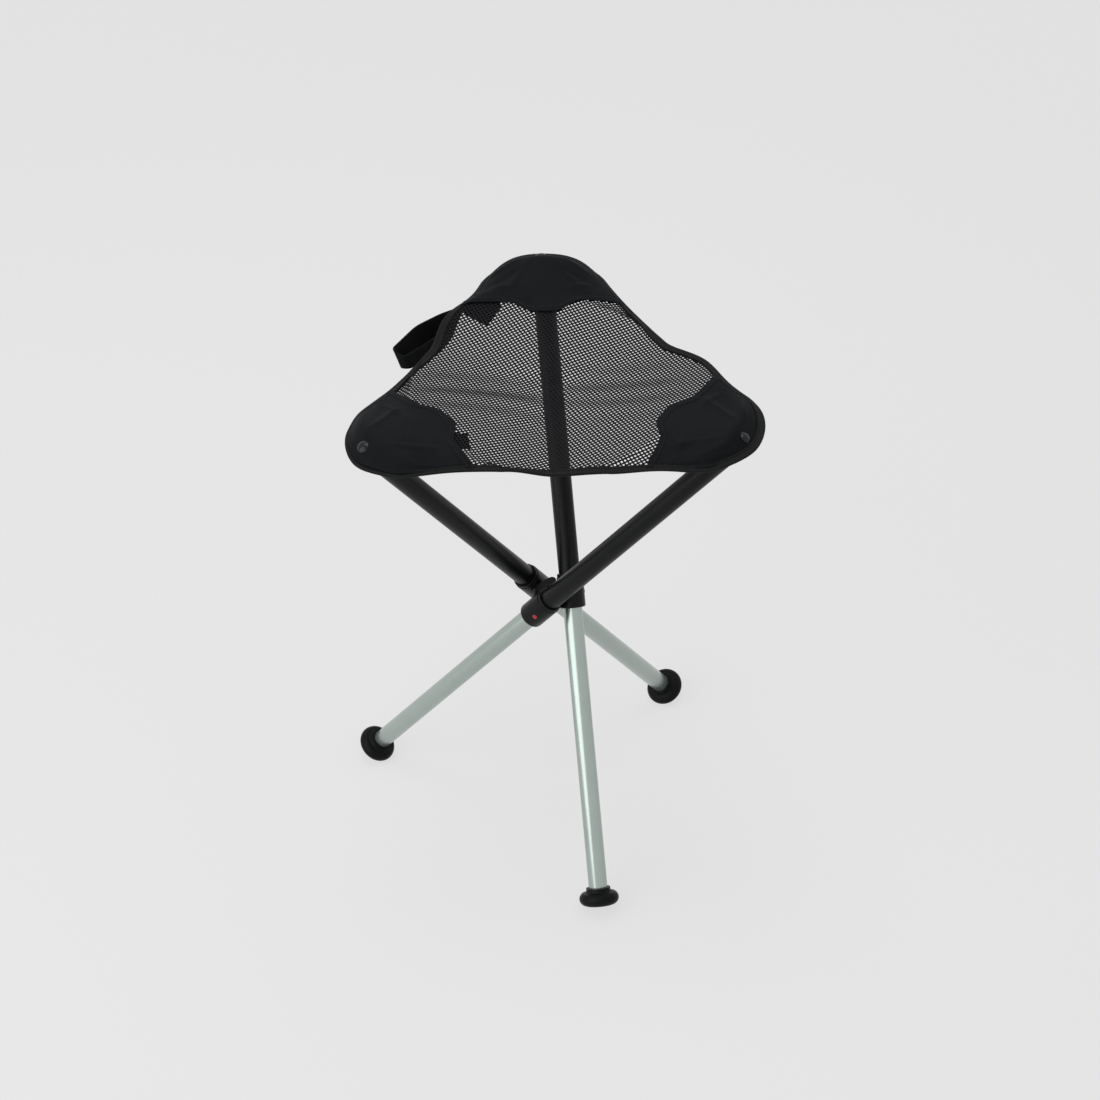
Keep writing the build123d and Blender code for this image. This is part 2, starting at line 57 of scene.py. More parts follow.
def surface(name, colour, roughness, gloss, metallic=0.0, grain=700.0, lift=0.00008, vary=0.25):
    """Material with a fine grain: noise varies the tone and roughness and raises the surface."""
    made = bpy.data.materials.new(name)
    made.use_nodes = True
    nodes, links = made.node_tree.nodes, made.node_tree.links
    shader = nodes["Principled BSDF"]
    shader.inputs["Metallic"].default_value = metallic
    shader.inputs["Specular IOR Level"].default_value = gloss
    place = nodes.new("ShaderNodeTexCoord")
    noise = nodes.new("ShaderNodeTexNoise")
    noise.inputs["Scale"].default_value = grain
    noise.inputs["Detail"].default_value = 4.0
    links.new(place.outputs["Object"], noise.inputs["Vector"])
    cloud = nodes.new("ShaderNodeTexNoise")
    cloud.inputs["Scale"].default_value = cloud_scale
    cloud.inputs["Detail"].default_value = 3.0
    links.new(place.outputs["Object"], cloud.inputs["Vector"])
    tone = nodes.new("ShaderNodeMapRange")
    tone.inputs["To Min"].default_value = 1.0 - vary
    tone.inputs["To Max"].default_value = 1.0 + vary
    links.new(cloud.outputs["Fac"], tone.inputs["Value"])
    tint = nodes.new("ShaderNodeVectorMath")
    tint.operation = "SCALE"
    tint.inputs[0].default_value = colour
    links.new(tone.outputs["Result"], tint.inputs["Scale"])
    links.new(tint.outputs["Vector"], shader.inputs["Base Color"])
    rough = nodes.new("ShaderNodeMapRange")
    rough.inputs["To Min"].default_value = roughness * (1 - vary / 2)
    rough.inputs["To Max"].default_value = min(1.0, roughness * (1 + vary / 2))
    links.new(noise.outputs["Fac"], rough.inputs["Value"])
    links.new(rough.outputs["Result"], shader.inputs["Roughness"])
    bump = nodes.new("ShaderNodeBump")
    bump.inputs["Distance"].default_value = lift
    bump.inputs["Strength"].default_value = bump_strength
    links.new(noise.outputs["Fac"], bump.inputs["Height"])
    links.new(bump.outputs["Normal"], shader.inputs["Normal"])
    return made


def dress(node, material):
    """A CAD node that is shown as it is gets its material."""
    shown = frame["nodes"][node]
    shown.data.materials.clear()
    shown.data.materials.append(material)


nylon = surface("hub_nylon", (0.006, 0.006, 0.0065), 0.42, 0.12)
for node in ("hub_upper", "hub_lower"):
    dress(node, nylon)
black_tone = (0.030, 0.030, 0.032)
blacked = surface("blacked_steel", black_tone, 0.35, 0.5, metallic=1.0, grain=1500.0, lift=0.00003)
for node in ("hub_screw", "hub_nut"):
    dress(node, blacked)

# Sleeves: black moulded nylon, one round each upper tube, with a stepped collar where the tube enters
# and a rounded lower end. The steel pivot pins stay inside the sleeve's wall.
longest_cut = 0.49


def corners_rounded(line, radii, steps=6):
    """The line's corners, each turned into an arc of its radius."""
    out = []
    count = len(line)
    for i in range(count):
        here = np.array(line[i], float)
        back = np.array(line[i - 1], float) - here
        ahead = np.array(line[(i + 1) % count], float) - here
        long_back, long_ahead = np.linalg.norm(back), np.linalg.norm(ahead)
        if radii[i] <= 0:
            out.append(here)
            continue
        back, ahead = back / long_back, ahead / long_ahead
        half = math.acos(np.clip(back @ ahead, -1, 1)) / 2
        cut = min(radii[i] / math.tan(half), longest_cut * long_back, longest_cut * long_ahead)
        radius = cut * math.tan(half)
        middle = here + (back + ahead) / np.linalg.norm(back + ahead) * radius / math.sin(half)
        first, last = here + back * cut - middle, here + ahead * cut - middle
        turn = math.acos(np.clip(first @ last / radius**2, -1, 1))
        for k in range(steps + 1):
            t = k / steps
            swept = math.sin((1 - t) * turn) * first + math.sin(t * turn) * last
            out.append(middle + swept / math.sin(turn))
    return np.array(out)


def shell(name, rings, closed, uv, crease, material):
    """Mesh through closed rings of points. closed also joins the last ring to the first."""
    rows, count = rings.shape[:2]
    faces, marks = [], []
    for i in range(rows if closed else rows - 1):
        for j in range(count):
            square = ((i, j), (i + 1, j), (i + 1, j + 1), (i, j + 1))
            faces.append([(a % rows) * count + b % count for a, b in square])
            marks.extend((uv[0][a], uv[1][b]) for a, b in square)
    mesh = bpy.data.meshes.new(name)
    mesh.from_pydata(rings.reshape(-1, 3).tolist(), [], faces)
    mesh.uv_layers.new(name="UVMap").data.foreach_set("uv", np.array(marks, float).ravel())
    build = bmesh.new()
    build.from_mesh(mesh)
    bmesh.ops.remove_doubles(build, verts=build.verts, dist=1e-6)
    if not closed:
        bmesh.ops.holes_fill(build, edges=build.edges)
    bmesh.ops.recalc_face_normals(build, faces=build.faces)
    build.to_mesh(mesh)
    build.free()
    mesh.polygons.foreach_set("use_smooth", [True] * len(mesh.polygons))
    mesh.set_sharp_from_angle(angle=math.radians(crease))
    mesh.materials.append(material)
    made = bpy.data.objects.new(name, mesh)
    bpy.context.scene.collection.objects.link(made)
    return made


def turned(name, line, at, along, across, material, steps=72, crease=35.0):
    """Surface of revolution of a closed line of (radius, distance along), in millimetres."""
    line = np.array(line, float) / 1000
    side = along.cross(across)
    turns = np.linspace(0, 2 * math.pi, steps, endpoint=False)
    spokes = np.cos(turns)[:, None] * np.array(across) + np.sin(turns)[:, None] * np.array(side)
    rings = np.array(at) + line[None, :, 1, None] * np.array(along)
    rings = rings + line[None, :, 0, None] * spokes[:, None, :]
    run = np.append(0, np.cumsum(np.linalg.norm(np.diff(line, axis=0, append=line[:1]), axis=1)))
    around = np.linspace(0, 2 * math.pi, steps + 1) * line[:, 0].max()
    return shell(name, rings, True, (around, run), crease, material)


joints = {joint["name"]: joint for joint in frame["joints"]}
legs = {}
for key in "abc":
    fold = joints[f"leg_fold_{key}"]
    legs[key] = (Vector(fold["pos_m"]), Vector(joints[f"leg_slide_{key}"]["axis"]), Vector(fold["axis"]))

sleeve_nylon = surface("sleeve_nylon", (0.0055, 0.0055, 0.0060), 0.32, 0.15, grain=900.0)
zinc = surface("zinc_plate", (0.62, 0.62, 0.6), 0.28, 0.5, metallic=1.0, grain=1500.0, lift=0.00003)
sleeve_radius, collar_radius, sleeve_bore, sleeve_mouth = 13.75, 13.1, 11.05, 9.9
collar_top, collar_foot, sleeve_step, bore_end, sleeve_end = 19.5, 16.1, 15.5, -14.0, -16.0
sleeve_line = [(sleeve_bore, collar_top), (collar_radius, collar_top), (collar_radius, collar_foot)]
sleeve_line += [(sleeve_radius, sleeve_step), (sleeve_radius, sleeve_end), (sleeve_mouth, sleeve_end)]
sleeve_line += [(sleeve_mouth, bore_end), (sleeve_bore, bore_end)]
sleeve_line = corners_rounded(sleeve_line, [0.3, 0.7, 0.3, 0.4, 3.2, 0.8, 0, 0])
boss_radius, boss_low, boss_high, boss_place = 8.0, -1.0, 3.0, 0.013
boss_line = [(0, boss_low), (boss_radius, boss_low), (boss_radius, boss_high), (0, boss_high)]
boss_line = corners_rounded(boss_line, [0, 0.5, 0, 0])
for key, (pivot, up, out) in legs.items():
    sleeve = turned(f"sleeve_body_{key}", sleeve_line, pivot, up, out, sleeve_nylon)
    boss = turned(f"sleeve_boss_{key}", boss_line, pivot - out * boss_place, out, up, sleeve_nylon, steps=48)
    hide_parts(f"sleeve_{key}")
    for made in (sleeve, boss):
        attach(made, f"upper_leg_{key}")
    dress(f"pivot_pin_{key}", zinc)

# Upper tubes: thin aluminium tube with a satin black finish, rounded at the cut ends.
# A black moulded plug closes each upper end and takes the rivet.
tube_black = surface("tube_black", (0.0050, 0.0055, 0.0055), 0.36, 0.14, grain=1600.0, lift=0.00003)
upper_radius, upper_bore, upper_top, upper_end = 11.0, 10.0, 340.0, -13.9
upper_line = [(upper_radius, upper_top), (upper_radius, upper_end)]
upper_line += [(upper_bore, upper_end), (upper_bore, upper_top)]
upper_line = corners_rounded(upper_line, [0.4, 0.3, 0.2, 0.3], 4)
for key, (pivot, up, out) in legs.items():
    tube = turned(f"upper_tube_skin_{key}", upper_line, pivot, up, out, tube_black)
    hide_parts(f"upper_tube_{key}")
    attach(tube, f"upper_leg_{key}")
    dress(f"top_plug_{key}", nylon)

# Lock buttons: glossy red plastic, a round stud with a domed end that stands out of each sleeve.
# A thin flange inside the sleeve's wall keeps the stud in.
red = surface("button_red", (0.40, 0.012, 0.016), 0.18, 0.5, grain=300.0, lift=0.00002, vary=0.1)
stud_line = [(2.3, 11.0), (2.3, 12.2), (3.3, 12.3), (3.3, 12.85), (2.5, 12.9), (2.5, 13.8)]
stud_line += [(1.6, 14.15), (0, 14.3), (0, 11.0)]
stud_line = corners_rounded(stud_line, [0, 0, 0.1, 0.1, 0, 0.4, 0.8, 0, 0], 5)
stud_drop = 0.0005
for key, (pivot, up, out) in legs.items():
    stud = turned(f"button_stud_{key}", stud_line, pivot - up * stud_drop, out, up, red, steps=40)
    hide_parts(f"lock_button_{key}")
    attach(stud, f"lock_button_{key}")

# Lower tubes: drawn aluminium with a clear satin finish, so fine lines run along them.
# A nylon guide bush closes the inner end. A folded steel leaf inside carries the lock pin,
# which is shown just short of the upper tube's bore.
brush_lines, brush_vary = (2600.0, 9.0, 1.0), 0.2


def brushed(name, colour, roughness):
    """Satin metal with fine lines along the tube, laid on the piece's own UV map."""
    made = surface(name, colour, roughness, 0.5, metallic=0.8, grain=500.0, lift=0.00001, vary=0.06)
    nodes, links = made.node_tree.nodes, made.node_tree.links
    shader = nodes["Principled BSDF"]
    own = nodes.new("ShaderNodeUVMap")
    own.uv_map = "UVMap"
    stretch = nodes.new("ShaderNodeMapping")
    stretch.inputs["Scale"].default_value = brush_lines
    links.new(own.outputs["UV"], stretch.inputs["Vector"])
    lines = nodes.new("ShaderNodeTexNoise")
    lines.inputs["Scale"].default_value = 1.0
    lines.inputs["Detail"].default_value = 5.0
    links.new(stretch.outputs["Vector"], lines.inputs["Vector"])
    rough = nodes.new("ShaderNodeMapRange")
    rough.inputs["To Min"].default_value = roughness * (1 - brush_vary)
    rough.inputs["To Max"].default_value = roughness * (1 + brush_vary)
    links.new(lines.outputs["Fac"], rough.inputs["Value"])
    links.new(rough.outputs["Result"], shader.inputs["Roughness"])
    return made


silver = brushed("lower_aluminium", (0.415, 0.475, 0.445), 0.24)
pin_reach = 0.0098
spring_tone = (0.35, 0.36, 0.38)
spring_steel = surface("spring_steel", spring_tone, 0.3, 0.5, metallic=1.0, grain=1200.0, lift=0.00002)
lower_radius, lower_bore, lower_top, lower_end = 9.75, 8.55, 25.0, -321.4
lower_line = [(lower_radius, lower_top), (lower_radius, lower_end)]
lower_line += [(lower_bore, lower_end), (lower_bore, lower_top)]
lower_line = corners_rounded(lower_line, [0.3, 0.3, 0.3, 0.3], 4)
for key, (pivot, up, out) in legs.items():
    tube = turned(f"lower_tube_skin_{key}", lower_line, pivot, up, out, silver)
    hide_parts(f"lower_tube_{key}")
    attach(tube, f"lower_leg_{key}")
    dress(f"guide_bush_{key}", nylon)
    leaf_mesh = frame["nodes"][f"lock_spring_{key}"].data.copy()
    for vertex in leaf_mesh.vertices:
        vertex.co -= out * max(0.0, (vertex.co - pivot) @ out - pin_reach)
    leaf_mesh.materials.clear()
    leaf_mesh.materials.append(spring_steel)
    leaf = bpy.data.objects.new(f"lock_leaf_{key}", leaf_mesh)
    bpy.context.scene.collection.objects.link(leaf)
    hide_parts(f"lock_spring_{key}")
    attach(leaf, f"lower_leg_{key}")

# Feet: moulded black rubber, a collar that grips the tube and a broad round pad with a rounded rim.
# The sole is cut flat where it stands on the floor.
rubber = surface("foot_rubber", (0.0050, 0.0058, 0.0054), 0.42, 0.09, grain=1100.0, lift=0.00012)
foot_line = [(9.77, -309.0), (12.6, -309.0), (12.6, -311.6), (13.3, -313.0), (15.0, -313.7), (17.1, -313.9)]
rim_middle, rim_level, rim_round = 13.6, -320.0, 7.0
for k in range(13):
    swing = math.radians(60 - k * 12.5)
    foot_line.append((rim_middle + rim_round * math.cos(swing), rim_level + rim_round * math.sin(swing)))
foot_line += [(11.0, -327.6), (7.0, -328.2), (3.0, -328.5), (0.0, -328.5), (0.0, -321.5), (9.77, -321.5)]
for key, (pivot, up, out) in legs.items():
    foot = turned(f"foot_pad_{key}", foot_line, pivot, up, out, rubber, steps=96, crease=50.0)
    for vertex in foot.data.vertices:
        vertex.co.z = max(vertex.co.z, 0.0)
    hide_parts(f"foot_{key}")
    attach(foot, f"lower_leg_{key}")

# Seat net: black knitted polyester net with square openings, sewn from corner to corner and pulled tight.
# It dips to the middle of the seat, rises along three ridges to the tube ends, and creases a little.
corner_turn = {"a": 210.0, "b": 330.0, "c": 90.0}
panels = {"ab": 1, "ac": -1, "bc": 1, "ba": -1, "ca": 1, "cb": -1}
axis_place = np.array([0.0, -8.939, 544.835])
lobe_centre, lobe_radius, edge_middle, edge_radius = 152.0, 70.0, 136.0, 801.44
hollow = (edge_middle + edge_radius) * np.array([math.sin(math.radians(60)), 0.5])
to_hollow = hollow - [0, lobe_centre]
lobe_end = np.array([0, lobe_centre]) + lobe_radius * to_hollow / np.linalg.norm(to_hollow)
lobe_turn = math.atan2(lobe_end[0], lobe_end[1])


def ease(t):
    """Smooth step from 0 to 1."""
    t = np.clip(t, 0, 1)
    return t * t * (3 - 2 * t)


# Each half edge lies a little off the even outline: how far it is raised and moved out, in millimetres,
# at the corner's tip, at the pocket's flank, where the pocket ends, and at the middle of the edge.
edge_lift = {"ab": (-6.5, 9.5, 8.5, 1), "ac": (-6.5, 5, -3, 0), "bc": (4.5, 12, 9, 5)}
edge_lift.update({"ba": (4.5, 5.5, 2, 1), "ca": (2.5, 3, 5.5, 0), "cb": (2.5, 3, 2, 5)})
edge_reach = {"ab": (-3.5, -7.5, -3, -1), "ac": (-3.5, -7.5, -1, -1), "bc": (-1, 1, 12.5, 0)}
edge_reach.update({"ba": (-1, -8.5, -3, -1), "ca": (-6, -4, 8, -1), "cb": (-6, -1, 1, 0)})


def along_edge(stations, turn):
    """Value between the four stations of a half edge, 20 degrees apart."""
    step = np.clip(np.abs(turn) / math.radians(20), 0, 2.9999)
    before = np.floor(step).astype(int)
    stations = np.array(stations, float)
    return stations[before] + (stations[before + 1] - stations[before]) * ease(step - before)


def edge_distance(panel, turn):
    """Distance from the seat's middle to its edge, in the direction turn (radians) from a corner."""
    turn = np.abs(turn)
    towards_lobe = lobe_centre * np.cos(turn)
    lobe = towards_lobe + np.sqrt(np.maximum(towards_lobe**2 - lobe_centre**2 + lobe_radius**2, 0))
    towards_hollow = hollow[0] * np.sin(turn) + hollow[1] * np.cos(turn)
    bow = towards_hollow - np.sqrt(np.maximum(towards_hollow**2 - hollow @ hollow + edge_radius**2, 0))
    return np.where(turn < lobe_turn, lobe, bow) + along_edge(edge_reach[panel], turn)


turn_table = np.linspace(math.radians(60), 0, 400)
edge_table = {panel: np.maximum.accumulate(edge_distance(panel, turn_table)) for panel in panels}
middle_height, edge_height, rivet_distance, rivet_height, cap_slope = -18.0, -12.0, 207.1, 3.6, 0.74
ridge_slope, ridge_blend, tip_start, side_start, hood_start, hood_run = 0.150, 1.6, 209, 200, 120, 50


def seat_rise(panel, distance, turn):
    """Height of the cloth over the tube ends, at a distance from the middle and a turn from a corner."""
    turn = np.abs(turn)
    middle, tip = edge_table[panel][0], edge_table[panel][-1]
    inner = middle_height + ridge_slope * distance
    outer = rivet_height - cap_slope * (distance - rivet_distance)
    outer = outer + edge_lift[panel][0] * ease((distance - tip_start) / (tip - tip_start))
    ridge = -ridge_blend * np.logaddexp(-inner / ridge_blend, -outer / ridge_blend)
    widest = np.interp(distance, edge_table[panel], turn_table)
    lift = along_edge(edge_lift[panel], widest)
    tip_height = rivet_height - cap_slope * (tip - rivet_distance)
    to_tip = ease((distance - side_start) / (tip - side_start))
    side = edge_height + lift + (tip_height - edge_height) * to_tip
    chord = middle_height + (edge_height + edge_lift[panel][3] - middle_height) * distance / middle
    side = np.where(distance < middle, chord, side)
    share = np.clip(turn / np.maximum(widest, 1e-6), 0, 1)
    soft = (1 - np.cos(math.pi * share)) / 2
    return ridge + (side - ridge) * (soft + (share**2 - soft) * ease((distance - hood_start) / hood_run))


def seat_place(panel, distance, turn, up=0.0):
    """Point of the seat in metres: on a panel, at a distance from the middle and a turn from its corner."""
    angle = math.radians(corner_turn[panel[0]]) + panels[panel] * np.asarray(turn)
    rise = seat_rise(panel, distance, turn) + up
    flat = np.stack([distance * np.cos(angle), distance * np.sin(angle), rise], axis=-1)
    return (flat + axis_place) / 1000


def panel_at(x, y):
    """Panel under a point of the seat's plan, its distance from the middle and its turn from the corner."""
    bearing = math.degrees(math.atan2(y, x))
    corner = min(corner_turn, key=lambda c: abs((bearing - corner_turn[c] + 180) % 360 - 180))
    turn = (bearing - corner_turn[corner] + 180) % 360 - 180
    side = 1 if turn >= 0 else -1
    panel = next(p for p in panels if p[0] == corner and panels[p] == side)
    return panel, math.hypot(x, y), math.radians(abs(turn))


pocket_shift = {"a": -3.0, "b": 4.0, "c": -1.5}
pocket_aside, pocket_ahead = [0, 13, 20, 31, 45, 73, 200], [116, 116.5, 121, 130, 133, 135, 135]


def pocket_inner(aside, corner):
    """Distance of a pocket's inner edge from the seat's middle, measured along the corner's line."""
    return np.interp(np.abs(aside), pocket_aside, pocket_ahead) + pocket_shift[corner]


def net_tree(material):
    """Node group that sets a cell on every point, joins the cells and lays them on the seat's surface."""
    tree = bpy.data.node_groups.new("net_cells", "GeometryNodeTree")
    tree.interface.new_socket("Geometry", in_out="INPUT", socket_type="NodeSocketGeometry")
    tree.interface.new_socket("Cell", in_out="INPUT", socket_type="NodeSocketObject")
    tree.interface.new_socket("Former", in_out="INPUT", socket_type="NodeSocketObject")
    tree.interface.new_socket("Turn", in_out="INPUT", socket_type="NodeSocketFloat")
    tree.interface.new_socket("Geometry", in_out="OUTPUT", socket_type="NodeSocketGeometry")
    nodes, links = tree.nodes, tree.links
    start, end = nodes.new("NodeGroupInput"), nodes.new("NodeGroupOutput")
    cell_info, former_info = nodes.new("GeometryNodeObjectInfo"), nodes.new("GeometryNodeObjectInfo")
    spin = nodes.new("ShaderNodeCombineXYZ")
    spread = nodes.new("GeometryNodeInstanceOnPoints")
    real = nodes.new("GeometryNodeRealizeInstances")
    merge = nodes.new("GeometryNodeMergeByDistance")
    merge.inputs["Distance"].default_value = 0.00005
    place = nodes.new("GeometryNodeInputPosition")
    raised = nodes.new("ShaderNodeVectorMath")
    raised.inputs[1].default_value = (0, 0, 1)
    drop = nodes.new("GeometryNodeRaycast")
    drop.inputs["Ray Direction"].default_value = (0, 0, -1)
    drop.inputs["Ray Length"].default_value = 2.0
    lay = nodes.new("GeometryNodeSetPosition")
    paint = nodes.new("GeometryNodeSetMaterial")
    paint.inputs["Material"].default_value = material
    links.new(start.outputs["Cell"], cell_info.inputs["Object"])
    links.new(start.outputs["Former"], former_info.inputs["Object"])
    links.new(start.outputs["Turn"], spin.inputs["Z"])
    links.new(start.outputs["Geometry"], spread.inputs["Points"])
    links.new(cell_info.outputs["Geometry"], spread.inputs["Instance"])
    links.new(spin.outputs["Vector"], spread.inputs["Rotation"])
    links.new(spread.outputs["Instances"], real.inputs["Geometry"])
    links.new(real.outputs["Geometry"], merge.inputs["Geometry"])
    links.new(place.outputs["Position"], raised.inputs[0])
    links.new(former_info.outputs["Geometry"], drop.inputs["Target Geometry"])
    links.new(raised.outputs["Vector"], drop.inputs["Source Position"])
    links.new(merge.outputs["Geometry"], lay.inputs["Geometry"])
    links.new(drop.outputs["Hit Position"], lay.inputs["Position"])
    links.new(lay.outputs["Geometry"], paint.inputs["Geometry"])
    links.new(paint.outputs["Geometry"], end.inputs["Geometry"])
    return tree


def socket_name(tree, label):
    """Identifier of a node group's named input."""
    return next(s.identifier for s in tree.interface.items_tree if s.name == label and s.in_out == "INPUT")


def plain(made):
    """Object with its modifiers turned into a plain mesh."""
    seen = made.evaluated_get(bpy.context.evaluated_depsgraph_get())
    mesh = bpy.data.meshes.new_from_object(seen)
    made.modifiers.clear()
    made.data = mesh
    return made


net_yarn = surface("net_yarn", (0.0090, 0.0085, 0.0100), 0.6, 0.06, grain=2500.0, lift=0.0001)
net_pitch, net_hole, net_turn, net_thick, hole_corner = 3.6, 2.28, math.radians(25.6), 0.0006, 1.12
net_reach, net_inset, net_under_pocket, seam_reach = 260, 3.6, 9, 0.75

cell_mesh = bpy.data.meshes.new("net_cell")
outer_ring = [(-1, -1), (0, -1), (1, -1), (1, 0), (1, 1), (0, 1), (-1, 1), (-1, 0)]
outer_ring = [(x * net_pitch / 2000, y * net_pitch / 2000, 0) for x, y in outer_ring]
inner_ring = []
for k in range(8):
    swing = math.radians(225 + 45 * k)
    reach = net_hole / 2000 * (hole_corner if k % 2 == 0 else 1.0)
    inner_ring.append((reach * math.cos(swing), reach * math.sin(swing), 0))
ring_faces = [(k, (k + 1) % 8, 8 + (k + 1) % 8, 8 + k) for k in range(8)]
cell_mesh.from_pydata(outer_ring + inner_ring, [], ring_faces)
cell = bpy.data.objects.new("net_cell", cell_mesh)
bpy.context.scene.collection.objects.link(cell)

# The former carries the net's shape: the seat's surface with shallow creases that run from side to side.
former_step, crease_height, crease_pitch = 2.5, 0.65, 30.0
east_line, north_line = np.arange(-225.0, 226.0, former_step), np.arange(-190.0, 236.0, former_step)
ground, squares = [], []
for i, north in enumerate(north_line):
    for j, east in enumerate(east_line):
        panel, far, turn = panel_at(east, north)
        edge = float(edge_distance(panel, turn))
        crease = math.sin(2 * math.pi * (north + 0.10 * east + 6 * math.sin(east / 40)) / crease_pitch)
        calm = float(ease((min(edge, 140) - far) / 40)) * math.exp(-(((north + 5) / 45.0) ** 2))
        height = float(seat_rise(panel, min(far, edge), turn)) + crease_height * crease * calm
        ground.append((east / 1000, (north + axis_place[1]) / 1000, (height + axis_place[2]) / 1000))
        if i and j:
            here = i * len(east_line) + j
            squares.append((here - len(east_line) - 1, here - len(east_line), here, here - 1))
former_mesh = bpy.data.meshes.new("seat_former")
former_mesh.from_pydata(ground, [], squares)
former = bpy.data.objects.new("seat_former", former_mesh)
bpy.context.scene.collection.objects.link(former)

cells = net_tree(net_yarn)
seams = {}
for panel, way in panels.items():
    ridge, middle = math.radians(corner_turn[panel[0]]), math.radians(corner_turn[panel[0]] + way * 60)
    seams[panel] = [
        way * np.array([-math.sin(ridge), math.cos(ridge), 0]),
        way * np.array([math.sin(middle), -math.cos(middle), 0]),
    ]
count = int(net_reach / net_pitch)
spots, own_cells = {panel: [] for panel in panels}, {panel: 0 for panel in panels}
for i in range(-count, count + 1):
    for j in range(-count, count + 1):
        x = net_pitch * (i * math.cos(net_turn) - j * math.sin(net_turn))
        y = net_pitch * (i * math.sin(net_turn) + j * math.cos(net_turn))
        panel, far, turn = panel_at(x, y)
        pocket_line = pocket_inner(far * math.sin(turn), panel[0]) + net_under_pocket
        if far > edge_distance(panel, turn) - net_inset or far * math.cos(turn) > pocket_line:
            continue
        own_cells[panel] += 1
        for other, inward in seams.items():
            if min(side @ [x, y, 0] for side in inward) > -seam_reach * net_pitch:
                spots[other].append((x / 1000, (y + axis_place[1]) / 1000, 0))
net_pieces = {}
for panel, points in spots.items():
    mesh = bpy.data.meshes.new(f"net_panel_{panel}")
    mesh.from_pydata(points, [], [])
    net = bpy.data.objects.new(f"net_panel_{panel}", mesh)
    bpy.context.scene.collection.objects.link(net)
    spread = net.modifiers.new("cells", "NODES")
    spread.node_group = cells
    spread[socket_name(cells, "Cell")] = cell
    spread[socket_name(cells, "Former")] = former
    spread[socket_name(cells, "Turn")] = net_turn
    plain(net)
    build = bmesh.new()
    build.from_mesh(net.data)
    for side in seams[panel]:
        whole = build.verts[:] + build.edges[:] + build.faces[:]
        seat_middle = axis_place / 1000
        bmesh.ops.bisect_plane(build, geom=whole, plane_co=seat_middle, plane_no=side, clear_inner=True)
    build.to_mesh(net.data)
    build.free()
    thick = net.modifiers.new("thick", "SOLIDIFY")
    thick.thickness = net_thick
    thick.offset = 0.0
    plain(net)
    net_pieces[panel] = net
bpy.data.objects.remove(cell)
bpy.data.objects.remove(former)
for panel, net in net_pieces.items():
    if panel == "ab":
        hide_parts("seat_net")
    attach(net, f"panel_{panel}")

# Corner pockets: black woven polyester, cut with a short tongue, hemmed along the inner edge and sewn on.
# Each hoods a tube's end, so it stands in a blunt ridge and wrinkles towards the edge.
# It is made in two halves that meet on the ridge.
wave_band, weave_strength = 0.314, 0.5


def woven(name, colour, roughness, gloss, thread, lift):
    """Plain weave on the piece's own UV map, with a slow change of tone."""
    made = surface(name, colour, roughness, gloss, grain=420.0, lift=0.0001, vary=0.3)
    nodes, links = made.node_tree.nodes, made.node_tree.links
    shader = nodes["Principled BSDF"]
    own = nodes.new("ShaderNodeUVMap")
    own.uv_map = "UVMap"
    heights = []
    for across in ("X", "Y"):
        wave = nodes.new("ShaderNodeTexWave")
        wave.bands_direction = across
        wave.inputs["Scale"].default_value = wave_band / thread
        wave.inputs["Distortion"].default_value = 0.4
        links.new(own.outputs["UV"], wave.inputs["Vector"])
        heights.append(wave)
    weave = nodes.new("ShaderNodeMath")
    weave.operation = "MULTIPLY"
    links.new(heights[0].outputs["Fac"], weave.inputs[0])
    links.new(heights[1].outputs["Fac"], weave.inputs[1])
    bump = nodes.new("ShaderNodeBump")
    bump.inputs["Distance"].default_value = lift
    bump.inputs["Strength"].default_value = weave_strength
    links.new(weave.outputs["Value"], bump.inputs["Height"])
    links.new(bump.outputs["Normal"], shader.inputs["Normal"])
    return made


def slab(name, grid, thickness, material, uv, crease=40.0):
    """Closed sheet of cloth through a grid of points, half its thickness on each side."""
    across = np.gradient(grid, axis=0)
    along = np.gradient(grid, axis=1)
    normal = np.cross(across, along)
    normal = normal / np.linalg.norm(normal, axis=-1, keepdims=True)
    top, low = grid + normal * thickness / 2, grid - normal * thickness / 2
    rings = np.concatenate([top, low[:, ::-1]], axis=1)
    marks = np.concatenate([uv[1], uv[1][::-1], uv[1][:1]])
    return shell(name, rings, False, (uv[0], marks), crease, material)


pocket_cloth = woven("pocket_cloth", (0.0056, 0.0064, 0.0078), 0.6, 0.055, 0.0009, 0.00015)
pocket_inset, meeting_gap = 3.5, 0.8


def wrinkle(x, y, start, end, height, width):
    """Height of a soft fold that runs from start to end, in millimetres of the corner's plan."""
    along = np.subtract(end, start)
    t = ((x - start[0]) * along[0] + (y - start[1]) * along[1]) / (along @ along)
    off = np.hypot(x - start[0] - np.clip(t, 0, 1) * along[0], y - start[1] - np.clip(t, 0, 1) * along[1])
    return height * np.exp(-((off / width) ** 2)) * np.sin(math.pi * np.clip(t, 0, 1))


def pocket_edge(panel, turns):
    """Distance of the pocket's inner edge from the seat's middle, in each direction."""
    inner = np.full_like(turns, 110.0)
    for _ in range(60):
        inner = inner + 0.7 * (pocket_inner(inner * np.sin(turns), panel[0]) / np.cos(turns) - inner)
    return inner


def pocket_turns(panel, count):
    """Directions from the corner's ridge to where the pocket's inner edge meets the seat's edge."""
    trial = np.radians(np.linspace(20, 50, 601))
    reaches = edge_distance(panel, trial) - pocket_inset
    closes = reaches * np.cos(trial) <= pocket_inner(reaches * np.sin(trial), panel[0]) + meeting_gap
    return np.linspace(0, trial[np.argmax(closes)], count)


